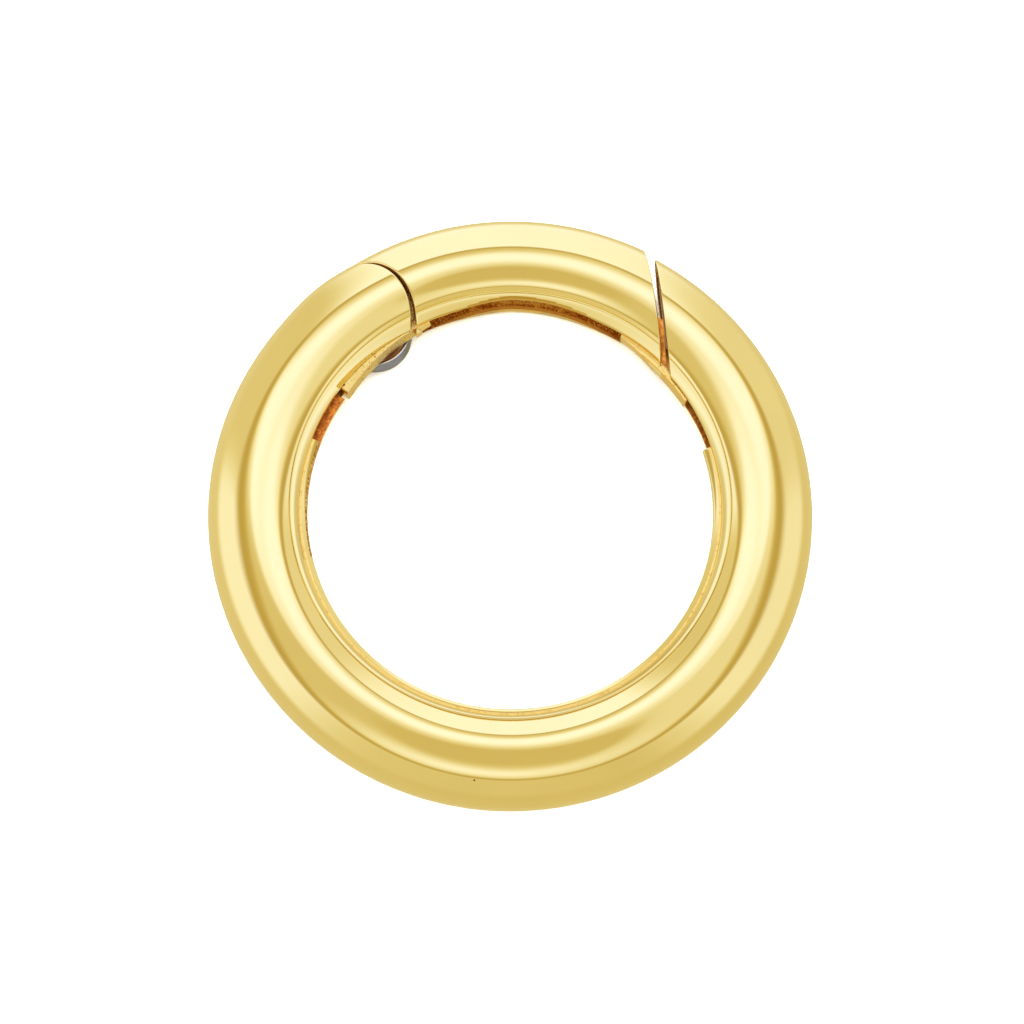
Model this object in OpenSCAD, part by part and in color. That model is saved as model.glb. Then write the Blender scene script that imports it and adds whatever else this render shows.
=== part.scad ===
/* [Ring] */
// Outside diameter of the ring
ring_od = 22; // [20:1:30]
// Outside diameter of the round bar
tube_d = 3.6; // [3.4:0.1:4]
// Wall of the hollow bar
wall = 0.2; // [0.15:0.01:0.25]

/* [Gate] */
// Width of the slanted gap where the gate meets the ring
latch_gap = 0.29; // [0.2:0.01:0.4]
// Slant of that gap from square across the bar, in degrees
latch_slant = 43; // [35:1:50]
// Lean of the ring's end face at the latch, which widens the gap towards the back, in degrees
latch_lean = 4.5; // [0:0.5:6]
// Depth that the inner side of the gate is cut away at its middle
gate_relief = 0.48; // [0.4:0.02:0.5]
// Smallest gap between the ring and the gate at the hinge
hinge_gap = 0.06; // [0.05:0.01:0.1]

/* [Spring] */
// Wire of the torsion spring
wire_d = 0.19; // [0.15:0.01:0.19]
// Turns of the spring's coil
turns = 4; // [3:1:4]

/* [Hidden] */
$fn = 96;

// centreline radius, bar radius and height of the middle plane
cr = (ring_od - tube_d) / 2;
tr = tube_d / 2;
mz = tr;
hollow_r = tr - wall;
// shares of the bar radius of the piece as measured
k = tr / 1.8;

// angles round the ring, from the +X axis towards +Y
hinge_a = 131.1;
latch_a = 53.8;
deg_mm = 180 / (PI * cr);
pivot_a = hinge_a - 0.77 * k * deg_mm;
tail_a = pivot_a + 2.95 * k * deg_mm;
slit_a = tail_a + 2.6 * k * deg_mm;
tip_a = latch_a - 3.56 * k * deg_mm;
slot_a = tip_a - 2.36 * k * deg_mm;

// centre of the rounded end of the ring, centre of the hinge, middle of the gap
end_c = [(cr - 0.178 * k) * cos(hinge_a), (cr - 0.178 * k) * sin(hinge_a)];
end_r = 2.29 * k;
pivot = [(cr - 0.54 * k) * cos(pivot_a), (cr - 0.54 * k) * sin(pivot_a)];
latch_c = [cr * cos(latch_a), cr * sin(latch_a)];
// the ring's inner corner there is rounded about the hinge
swing_r = end_r - norm(pivot - end_c);
swing_a = atan2(pivot[1] - end_c[1], pivot[0] - end_c[0]);
pin_r = 0.35 * k;
tang_h = 0.38 * k;
tongue_h = 0.34 * k;
coil_r = 1.305 * k;
coil_top = -0.52 * k;
coil_low = -1.31 * k;
gate_gold = [0.86, 0.68, 0.32];
body_gold = [0.88, 0.71, 0.36];

// half of the bar's section beside its closing strip, cut back to leave a crease
module crease_cut() {
    polygon([
        [-1.497, 1.0], [-1.58, 0.47], [-1.76, 0.38], [-2.2, 0.38], [-2.2, 1.0]
    ] * k);
}

module bar_section() {
    difference() {
        circle(r = tr);
        crease_cut();
        mirror([0, 1]) crease_cut();
    }
}

// inside of the bar, with a thicker wall left under the closing strip
module hollow_section(depth) {
    intersection() {
        circle(r = hollow_r);
        translate([-depth * k, -tube_d]) square([2 * tube_d, 2 * tube_d]);
    }
}

// sweeps a section along part of the ring
module arc(a1, a2) {
    translate([0, 0, mz]) rotate([0, 0, a1]) rotate_extrude(angle = a2 - a1) translate([cr, 0]) children();
}

// block that follows the ring between two radii, z1 to z2 from the middle plane
module band(a1, a2, q1, q2, z1, z2) {
    translate([0, 0, mz + z1]) rotate([0, 0, a1]) rotate_extrude(angle = a2 - a1)
        translate([q1, 0]) square([q2 - q1, z2 - z1]);
}

// upright cylinder at a point, z1 to z2 from the middle plane
module drum(p, r, z1, z2) {
    translate([p[0], p[1], mz + z1]) cylinder(r = r, h = z2 - z1);
}

// everything to the right of the gate's slanted end, near that end only
module past_gate_end() {
    translate([latch_c[0], latch_c[1], mz]) rotate([0, 0, latch_a + latch_slant - 90])
        translate([-latch_gap / 2, -5 * k, -tube_d]) cube([4 * k, 10 * k, 2 * tube_d]);
}

// everything to the left of the ring's slanted end, which leans back a little
module before_latch_end() {
    translate([latch_c[0], latch_c[1], mz]) rotate([0, 0, latch_a + latch_slant - 91])
        translate([0.8 * latch_gap, 0, 0]) rotate([0, -latch_lean, 0])
            translate([-4 * k, -5 * k, -tube_d]) cube([4 * k, 10 * k, 2 * tube_d]);
}

// wedge inwards of the hinge where the ring's corner is rounded
module swing_wedge() {
    translate([pivot[0], pivot[1], 0]) linear_extrude(height = 2 * tube_d) rotate(swing_a)
        polygon([[0, 0], [2, -4], [5, -2], [4, 0]] * k);
}

// everything past the rounded hinge end of the ring, near that end only
module past_hinge_end() {
    difference() {
        translate([0, 0, mz]) rotate([0, 0, hinge_a]) translate([cr - 3 * k, -6 * k, -tube_d])
            cube([6 * k, 6 * k, 2 * tube_d]);
        drum(end_c, end_r, -2 * tube_d, 2 * tube_d);
    }
    difference() {
        swing_wedge();
        drum(pivot, swing_r, -2 * tube_d, 2 * tube_d);
    }
}

// C-shaped hollow bar with a rounded hinge end and a slanted latch end
module bar_of_ring() {
    difference() {
        arc(hinge_a - 26, 360 + latch_a + 14) bar_section();
        arc(hinge_a - 30, 360 + latch_a + 18) hollow_section(1.35);
        before_latch_end();
        past_hinge_end();
        // slots in the inner side for the gate's tang and tongue
        band(hinge_a - 30, tail_a + 1.3, cr - 2.3 * k, cr - 1.2 * k, -0.45 * k, 0.45 * k);
        band(tail_a + 0.5, slit_a, cr - 2.3 * k, cr - 1.2 * k, 0.02 * k, 0.38 * k);
        band(slot_a, latch_a + 10, cr - 2.3 * k, cr - 1.2 * k, -0.4 * k, 0.44 * k);
        band(tip_a, latch_a + 12, cr - 2.2 * k, cr - 1.25 * k, -0.5 * k, 0.1 * k);
        // room for the spring behind the tang
        drum(pivot, 1.5 * k, -1.44 * k, -0.4 * k);
    }
}

module ring_body() {
    color(body_gold) difference() {
        union() {
            bar_of_ring();
            // drum that the spring is wound on, and the hinge's front seat
            drum(pivot, 1.08 * k, -1.5 * k, -0.44 * k);
            drum(pivot, 0.5 * k, 0.44 * k, 1.38 * k);
        }
        drum(pivot, pin_r + 0.02, -1.32 * k, 1.32 * k);
    }
}

// hollow arc of the gate, standing a hair proud of the ring at its free end
module gate_bar() {
    difference() {
        translate([pivot[0], pivot[1], 0]) rotate([0, 0, 0.75]) translate([-pivot[0], -pivot[1], 0])
            difference() {
                arc(latch_a - 18, hinge_a - 9.6) bar_section();
                arc(latch_a - 22, hinge_a - 5) hollow_section(0.8);
            }
        drum(end_c + [0.05, -0.06] * k, end_r + 0.06 * k + hinge_gap, -tube_d, tube_d);
        drum(pivot, swing_r + 0.08 * k, -tube_d, tube_d);
    }
}

// tang inside the ring at the hinge, with a tail past the pin
module tang() {
    difference() {
        union() {
            band(hinge_a - 24, hinge_a, cr - 1.25 * k, cr + 0.5 * k, -tang_h, 0.2 * k);
            band(hinge_a - 15.5, tail_a, cr - 1.9 * k, cr - 1.2 * k, -tang_h, tang_h);
        }
        // its inner edge runs straighter than the ring
        drum([0.661, 0.237] * k, 7.758 * k + cr - 9.2 * k, -tube_d, tube_d);
    }
}

// flat tongue that closes into the slot of the ring
module tongue() {
    band(tip_a, latch_a + 3.5, cr - 1.65 * k, cr - 0.85 * k, -tongue_h, tongue_h);
}

// tapered cutter for the gate's inner side, with its radius at the middle plane
module inner_cut(c, r) {
    translate([c[0] * k, c[1] * k, mz - 3 * k]) cylinder(r1 = r + 0.3 * k, r2 = r - 0.3 * k, h = 6 * k);
}

module gate() {
    color(gate_gold) difference() {
        union() {
            difference() {
                gate_bar();
                past_gate_end();
                // rough trough along the inner side, narrower beside the tang
                band(latch_a + 4, hinge_a - 18, cr - 2.3 * k, cr - 1.0 * k, -0.95 * k, 0.4 * k);
                band(hinge_a - 18.1, hinge_a - 15.2, cr - 2.3 * k, cr - 1.1 * k, -0.95 * k, 0.2 * k);
            }
            // solid root of the tang inside the gate
            intersection() {
                band(hinge_a - 30, hinge_a - 16, cr - 0.95 * k, cr + 1.68 * k, -tang_h, tang_h);
                arc(hinge_a - 30, hinge_a - 16) circle(r = tr - 0.08);
            }
            tang();
            tongue();
        }
        // inner side cut back by two larger circles that meet at its middle
        intersection() {
            inner_cut([-0.046, 1.204], cr - 1.8 * k + gate_relief - 1.134 * k);
            inner_cut([0.511, 1.423], cr - 1.8 * k + gate_relief - 1.333 * k);
        }
        drum(pivot, pin_r + 0.04, -tube_d, tube_d);
    }
}

// plain pin, hidden inside the ring
module hinge_pin() {
    color([0.7, 0.7, 0.72]) drum(pivot, pin_r, -1.3 * k, 1.3 * k);
}

// path of the spring: ring leg, coil, gate leg
seg = 28;
side = [sin(pivot_a), -cos(pivot_a)];
coil_n = turns * seg;
coil_path = [for (i = [0:coil_n]) let (a = pivot_a - 360 * i / seg, f = i / coil_n)
    [pivot[0] + coil_r * cos(a), pivot[1] + coil_r * sin(a), mz + coil_low + f * (coil_top - coil_low)]];
leg_start = coil_path[0];
leg_end = coil_path[coil_n];
path = concat(
    [for (f = [1, 0.66, 0.33]) leg_start + [-side[0] * 3 * k * f, -side[1] * 3 * k * f, 0.55 * k * f]],
    coil_path,
    [for (f = [0.33, 0.66, 1]) leg_end + [side[0] * 3.3 * k * f, side[1] * 3.3 * k * f, 0]]
);

function unit(v) = v / norm(v);
function heading(i) = unit(path[min(i + 1, len(path) - 1)] - path[max(i - 1, 0)]);

module torsion_spring() {
    m = 10;
    n = len(path);
    points = [for (i = [0:n - 1], j = [0:m - 1])
        let (t = heading(i), u = unit(cross([0, 0, 1], t)), v = cross(t, u))
        path[i] + wire_d / 2 * (cos(360 * j / m) * u + sin(360 * j / m) * v)];
    skin = [for (i = [0:n - 2], j = [0:m - 1])
        [i * m + j, i * m + (j + 1) % m, (i + 1) * m + (j + 1) % m, (i + 1) * m + j]];
    caps = [[for (j = [m - 1:-1:0]) j], [for (j = [0:m - 1]) (n - 1) * m + j]];
    color([0.72, 0.72, 0.74]) polyhedron(points = points, faces = concat(skin, caps), convexity = 8);
}

ring_body();
gate();
hinge_pin();
torsion_spring();
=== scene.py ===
"""Spring gate ring: polished gold pieces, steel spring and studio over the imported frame.

Lengths are in millimetres while a piece is being shaped. The finished piece is scaled to
metres, with its place in its mesh, and rides on its body of the frame.
"""
import logging
import math
from dataclasses import dataclass, field, replace
from enum import Enum
from typing import Callable, Optional, Sequence, Union

import bmesh
import bpy
import numpy as np
from mathutils import Matrix, Vector


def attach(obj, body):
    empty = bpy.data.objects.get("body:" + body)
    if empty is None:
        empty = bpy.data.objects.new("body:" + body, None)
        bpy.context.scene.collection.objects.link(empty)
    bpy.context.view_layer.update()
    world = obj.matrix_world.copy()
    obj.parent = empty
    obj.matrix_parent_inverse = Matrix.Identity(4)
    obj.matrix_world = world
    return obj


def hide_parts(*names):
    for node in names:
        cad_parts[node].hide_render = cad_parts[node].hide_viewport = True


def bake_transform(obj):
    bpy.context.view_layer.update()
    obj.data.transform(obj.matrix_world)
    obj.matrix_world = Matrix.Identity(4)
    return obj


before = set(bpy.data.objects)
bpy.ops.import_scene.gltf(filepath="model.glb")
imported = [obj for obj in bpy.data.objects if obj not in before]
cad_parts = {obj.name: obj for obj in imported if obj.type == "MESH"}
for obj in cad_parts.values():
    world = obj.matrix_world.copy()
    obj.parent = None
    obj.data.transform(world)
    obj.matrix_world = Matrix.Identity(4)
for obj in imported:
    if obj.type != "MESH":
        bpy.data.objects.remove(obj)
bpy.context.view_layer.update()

LOG = logging.getLogger("spring_gate_ring")
MM = 0.001
# Place in millimetres of the small pit, drawn as a spot of painted shade.
PIT_PLACE = (-1.257, -10.096, 3.313)
# Heights of a cutter that passes right through the bar.
THROUGH = (-3, 3)
# Centres in plan of the two circles that cut the gate's inner side back.
RELIEF_CENTRES = ((-0.046, 1.204), (0.511, 1.423))
Link = Union["Value", float, Sequence[float], bpy.types.NodeSocket]


@dataclass(frozen=True)
class RingSizes:
    """Sizes that all pieces share, in millimetres and degrees, as in the solids."""

    centreline: float = 9.2
    bar_radius: float = 1.8
    wall: float = 0.2
    hinge_angle: float = 131.1
    latch_angle: float = 53.8
    latch_gap: float = 0.29
    latch_slant: float = 43.0
    latch_lean: float = 4.5
    gate_relief: float = 0.48
    hinge_gap: float = 0.06
    end_radius: float = 2.29
    proud_angle: float = 0.75
    pin_radius: float = 0.35
    drum_radius: float = 1.08
    seat_radius: float = 0.5
    room_radius: float = 1.5
    tang_half: float = 0.38
    tongue_half: float = 0.34
    wire: float = 0.19
    turns: int = 4

    @property
    def middle(self) -> float:
        """Height of the bar's middle plane over the floor."""
        return self.bar_radius

    @property
    def pivot_angle(self) -> float:
        """Angle round the ring at which the hinge pin stands."""
        return self.hinge_angle - math.degrees(0.77 / self.centreline)

    @property
    def tail_angle(self) -> float:
        """Angle at which the gate's tail ends inside the ring."""
        return self.pivot_angle + math.degrees(2.95 / self.centreline)

    @property
    def slit_angle(self) -> float:
        """Angle at which the dark slit beside the tail ends."""
        return self.tail_angle + math.degrees(2.6 / self.centreline)

    @property
    def tip_angle(self) -> float:
        """Angle at which the gate's tongue ends."""
        return self.latch_angle - math.degrees(3.56 / self.centreline)

    @property
    def slot_angle(self) -> float:
        """Angle at which the ring's slot for the tongue ends."""
        return self.tip_angle - math.degrees(2.36 / self.centreline)

    @property
    def pivot(self) -> np.ndarray:
        """Centre of the hinge pin in plan."""
        return on_circle(self.centreline - 0.54, self.pivot_angle)

    @property
    def end_centre(self) -> np.ndarray:
        """Centre of the ring's rounded end in plan."""
        return on_circle(self.centreline - 0.178, self.hinge_angle)

    @property
    def hollow_centre(self) -> np.ndarray:
        """Centre in plan of the gate's hollowed end, a little off the ring's."""
        return self.end_centre + np.array([0.05, -0.06])

    @property
    def swing_radius(self) -> float:
        """Radius about the pin of the ring's inner corner at the hinge."""
        return self.end_radius - float(np.linalg.norm(self.pivot - self.end_centre))

    @property
    def swing_touch(self) -> np.ndarray:
        """Point where the rounded end passes into the rounded inner corner."""
        way = self.pivot - self.end_centre
        return self.end_centre + way / np.linalg.norm(way) * self.end_radius


def on_circle(radius: float, degrees: float) -> np.ndarray:
    """Returns the plan point at a radius and an angle from the +X axis."""
    return np.array([math.cos(math.radians(degrees)), math.sin(math.radians(degrees))]) * radius


def turned(points: np.ndarray, degrees: float) -> np.ndarray:
    """Returns rows of points turned about the upright axis."""
    c, s = on_circle(1.0, degrees)
    return points @ np.array([[c, s, 0], [-s, c, 0], [0, 0, 1]])


class Part(Enum):
    """Body of the frame that a piece rides on."""

    RING = "ring"
    GATE = "gate"


def deselect() -> None:
    """Leaves edit mode and deselects all objects."""
    if bpy.context.object and bpy.context.object.mode != "OBJECT":
        bpy.ops.object.mode_set(mode="OBJECT")
    bpy.ops.object.select_all(action="DESELECT")


def activate(*pieces: bpy.types.Object) -> None:
    """Selects the pieces alone and makes the first one active.

    Args:
        pieces: The pieces, the active one first.
    """
    deselect()
    for piece in pieces:
        piece.select_set(True)
    bpy.context.view_layer.objects.active = pieces[0]


def read_points(piece: bpy.types.Object) -> np.ndarray:
    """Reads the piece's vertices.

    Args:
        piece: A mesh.

    Returns:
        Rows of x, y and z.
    """
    flat = np.empty(len(piece.data.vertices) * 3)
    piece.data.vertices.foreach_get("co", flat)
    return flat.reshape(-1, 3)


def write_points(piece: bpy.types.Object, points: np.ndarray) -> None:
    """Moves the piece's vertices to the given rows of x, y and z."""
    piece.data.vertices.foreach_set("co", points.ravel())
    piece.data.update()


def apply_place(piece: bpy.types.Object) -> bpy.types.Object:
    """Puts the piece's place, turn and scale into its mesh.

    Args:
        piece: A mesh.

    Returns:
        The same piece.
    """
    activate(piece)
    bpy.ops.object.transform_apply(location=True, rotation=True, scale=True)
    return piece


def sweep_section(name: str, section: np.ndarray, sizes: RingSizes, start: float, stop: float,
                  steps: int) -> bpy.types.Object:
    """Spins a closed section about the ring's axis.

    Args:
        name: Name of the new object.
        section: Rows of radial and axial offset from the bar's centre.
        sizes: Sizes of the ring.
        start: First angle in degrees.
        stop: Last angle in degrees.
        steps: Sections after the first.

    Returns:
        An open tube that follows the ring.
    """
    deselect()
    bpy.ops.mesh.primitive_circle_add(vertices=len(section), radius=sizes.bar_radius)
    tube = bpy.context.object
    tube.name = name
    points = np.zeros((len(section), 3))
    points[:, 0] = sizes.centreline + section[:, 0]
    points[:, 2] = sizes.middle + section[:, 1]
    write_points(tube, turned(points, start))
    bpy.ops.object.mode_set(mode="EDIT")
    bpy.ops.mesh.select_all(action="SELECT")
    bpy.ops.mesh.spin(steps=steps, angle=math.radians(stop - start), center=(0, 0, 0),
                      axis=(0, 0, -1))
    bpy.ops.object.mode_set(mode="OBJECT")
    return tube


def face_outwards(piece: bpy.types.Object) -> None:
    """Turns the faces of the closed piece in edit mode outwards and leaves edit mode.

    Args:
        piece: The active piece, in edit mode.
    """
    bpy.ops.mesh.select_all(action="SELECT")
    bpy.ops.mesh.normals_make_consistent(inside=False)
    if bmesh.from_edit_mesh(piece.data).calc_volume(signed=True) < 0:
        bpy.ops.mesh.flip_normals()
    bpy.ops.object.mode_set(mode="OBJECT")


def close_ends(piece: bpy.types.Object) -> bpy.types.Object:
    """Fills every open rim of the piece and turns its faces outwards.

    Args:
        piece: A tube with open ends.

    Returns:
        The same piece, closed.
    """
    activate(piece)
    bpy.ops.object.mode_set(mode="EDIT")
    bpy.ops.mesh.select_all(action="DESELECT")
    bpy.ops.mesh.select_mode(type="EDGE")
    bpy.ops.mesh.select_non_manifold()
    bpy.ops.mesh.edge_face_add()
    face_outwards(piece)
    return piece


def arc_block(name: str, sizes: RingSizes, angles: tuple[float, float], radii: tuple[float, float],
              heights: tuple[float, float], rounding: float = 0.0) -> bpy.types.Object:
    """Makes a solid block that follows the ring.

    Args:
        name: Name of the block.
        sizes: Sizes of the ring.
        angles: First and last angle in degrees.
        radii: Inner and outer radius from the ring's axis.
        heights: Lower and upper side from the middle plane.
        rounding: Width of the rounded edges, or 0 for sharp ones.

    Returns:
        The closed block.
    """
    r1, r2 = radii[0] - sizes.centreline, radii[1] - sizes.centreline
    z1, z2 = heights
    section = np.array([[r1, z1], [r2, z1], [r2, z2], [r1, z2]])
    steps = max(8, int(angles[1] - angles[0]) * 2)
    block = close_ends(sweep_section(name, section, sizes, *angles, steps=steps))
    if rounding:
        round_edges(block, rounding)
    return block


def drum(name: str, centre: np.ndarray, radius: float, heights: tuple[float, float], sizes: RingSizes,
         rounding: float = 0.0, top_radius: Optional[float] = None) -> bpy.types.Object:
    """Makes an upright drum, or a cone where the top radius differs.

    Args:
        name: Name of the drum.
        centre: Its plan point.
        radius: Its radius, at the lower end of a cone.
        heights: Lower and upper end from the middle plane.
        sizes: Sizes of the ring.
        rounding: Width of the rounded edges, or 0 for sharp ones.
        top_radius: Radius at the upper end.

    Returns:
        The closed drum.
    """
    deselect()
    bpy.ops.mesh.primitive_cone_add(
        vertices=192, radius1=radius, radius2=radius if top_radius is None else top_radius,
        depth=heights[1] - heights[0],
        location=(centre[0], centre[1], sizes.middle + sum(heights) / 2))
    piece = bpy.context.object
    piece.name = name
    apply_place(piece)
    if rounding:
        round_edges(piece, rounding)
    return piece


def round_edges(piece: bpy.types.Object, width: float, segments: int = 3) -> bpy.types.Object:
    """Rounds the piece's sharp edges with an applied bevel.

    Args:
        piece: A closed solid.
        width: Width of the rounding.
        segments: Faces across it.

    Returns:
        The same piece.
    """
    activate(piece)
    bevel = piece.modifiers.new("rounding", "BEVEL")
    bevel.width = width
    bevel.segments = segments
    bevel.limit_method = "ANGLE"
    bevel.angle_limit = math.radians(50)
    bpy.ops.object.modifier_apply(modifier=bevel.name)
    return piece


class Cut(Enum):
    """How a second solid changes a piece."""

    TAKE = "DIFFERENCE"
    ADD = "UNION"
    KEEP = "INTERSECT"


def wear(piece: bpy.types.Object, material: bpy.types.Material) -> bpy.types.Object:
    """Gives a solid one material in place of all that it has.

    Args:
        piece: The solid.
        material: Its only material.

    Returns:
        The same solid.
    """
    piece.data.materials.clear()
    piece.data.materials.append(material)
    return piece


def combine(piece: bpy.types.Object, other: bpy.types.Object, how: Cut,
            finish: Optional[bpy.types.Material] = None) -> None:
    """Joins, cuts or crops a piece with another solid, which carries its own material over.

    Args:
        piece: The solid that is changed.
        other: The second solid, removed afterwards.
        how: What the second solid does.
        finish: Material of the second solid, or nothing where it has its own or needs none.
    """
    if finish:
        wear(other, finish)
    activate(piece)
    boolean = piece.modifiers.new("solid", "BOOLEAN")
    boolean.operation = how.value
    boolean.solver = "EXACT"
    boolean.material_mode = "TRANSFER"
    boolean.object = other
    bpy.ops.object.modifier_apply(modifier=boolean.name)
    bpy.data.objects.remove(other)


@dataclass(frozen=True)
class BarSection:
    """Section of the bar: a circle with a closing strip between two creases on its inner side."""

    radius: float = 1.8
    round_to: float = 128.0
    corner: float = 0.3
    crease_height: float = 0.45
    crease_depth: float = 0.19
    groove: tuple[tuple[float, float], ...] = ((-1.53, 0.365), (-1.62, 0.36))
    ledge: tuple[tuple[float, float], ...] = ((-1.63, 0.352), (-1.742, 0.243), (-1.775, 0.228))
    strip_height: float = 0.21
    outer_points: int = 92
    side_points: int = 16
    strip_points: int = 9

    @property
    def crease(self) -> np.ndarray:
        """Bottom of the crease beside the closing strip."""
        return np.array([-math.sqrt(self.radius ** 2 - self.crease_height ** 2) + self.crease_depth,
                         self.crease_height])

    def points(self) -> np.ndarray:
        """Draws the closed section.

        Returns:
            Rows of radial and axial offset from the bar's centre.
        """
        stop = math.radians(self.round_to)
        angles = np.linspace(-stop, stop, self.outer_points)
        outer = np.stack([np.cos(angles), np.sin(angles)], 1) * self.radius
        start, crease = outer[-1], self.crease
        along = start + np.array([-math.sin(stop), math.cos(stop)]) * self.corner
        flat = (along - crease) * 0.94
        t = np.linspace(0, 1, self.side_points + 1)[1:, None]
        side = ((1 - t) ** 3 * start + 3 * (1 - t) ** 2 * t * along
                + 3 * (1 - t) * t ** 2 * (crease + flat) + t ** 3 * crease)
        edge = math.asin(self.strip_height / self.radius)
        lips = np.array(self.groove + self.ledge)
        strip = np.linspace(math.pi - edge, math.pi + edge, self.strip_points)
        strip = np.stack([np.cos(strip), np.sin(strip)], 1) * self.radius
        lower = np.concatenate([side, lips])[::-1] * [1, -1]
        return np.concatenate([outer, side, lips, strip, lower])

    def hollow(self, radius: float, flat: float) -> np.ndarray:
        """Draws the inner section, point for point beside the outer one.

        Args:
            radius: Radius of the hollow.
            flat: How far inwards it reaches from the bar's centre.

        Returns:
            Rows of radial and axial offset from the bar's centre.
        """
        outer = self.points()
        inner = outer / np.linalg.norm(outer, axis=1, keepdims=True) * radius
        inner[:, 0] = np.maximum(inner[:, 0], -flat)
        return inner


@dataclass(frozen=True)
class SquareEnd:
    """End square across the bar at one angle."""

    degrees: float

    def angle(self, radius: np.ndarray, height: np.ndarray, centre: np.ndarray) -> np.ndarray:
        """Returns that angle for every point."""
        return np.full(len(radius), math.radians(self.degrees))


@dataclass(frozen=True)
class PlaneEnd:
    """Slanted flat end of a bar."""

    way: float
    distance: float
    lean: float = 0.0

    def angle(self, radius: np.ndarray, height: np.ndarray, centre: np.ndarray) -> np.ndarray:
        """Finds where round the bar the end stands.

        Args:
            radius: Distances from the bar's own centre.
            height: Heights from the middle plane.
            centre: The bar's own centre in plan.

        Returns:
            Angles round that centre, in radians.
        """
        th, lean = math.radians(self.way), math.radians(self.lean)
        flat = self.distance - height * math.sin(lean)
        flat = flat - math.cos(lean) * (centre[0] * math.cos(th) + centre[1] * math.sin(th))
        return th + np.arccos(np.clip(flat / (radius * math.cos(lean)), -1, 1))


@dataclass(frozen=True)
class RoundEnd:
    """End of a bar on the near side of an upright drum."""

    centre: tuple[float, float]
    radius: float

    def angle(self, radius: np.ndarray, height: np.ndarray, centre: np.ndarray) -> np.ndarray:
        """Finds where round the bar the drum begins.

        Args:
            radius: Distances from the bar's own centre.
            height: Heights from the middle plane.
            centre: The bar's own centre in plan.

        Returns:
            Angles round that centre, in radians.
        """
        c = np.array(self.centre) - centre
        far = float(np.linalg.norm(c))
        cosine = (radius ** 2 + far ** 2 - self.radius ** 2) / (2 * radius * far)
        return math.atan2(c[1], c[0]) - np.arccos(np.clip(cosine, -1, 1))


EndRule = Callable[[np.ndarray, np.ndarray, np.ndarray], np.ndarray]
# Where sections crowd at a rounded lip, in widths of the lip from the end.
LIP_ROWS = np.array([0, 0.06, 0.17, 0.33, 0.55, 0.8, 1.1, 1.6, 2.4, 3.6])


class Layer(Enum):
    """Materials of a bar, by their place in its list."""

    SKIN = 0
    INSIDE = 1
    SEAM = 2
    GROOVE = 3


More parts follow.
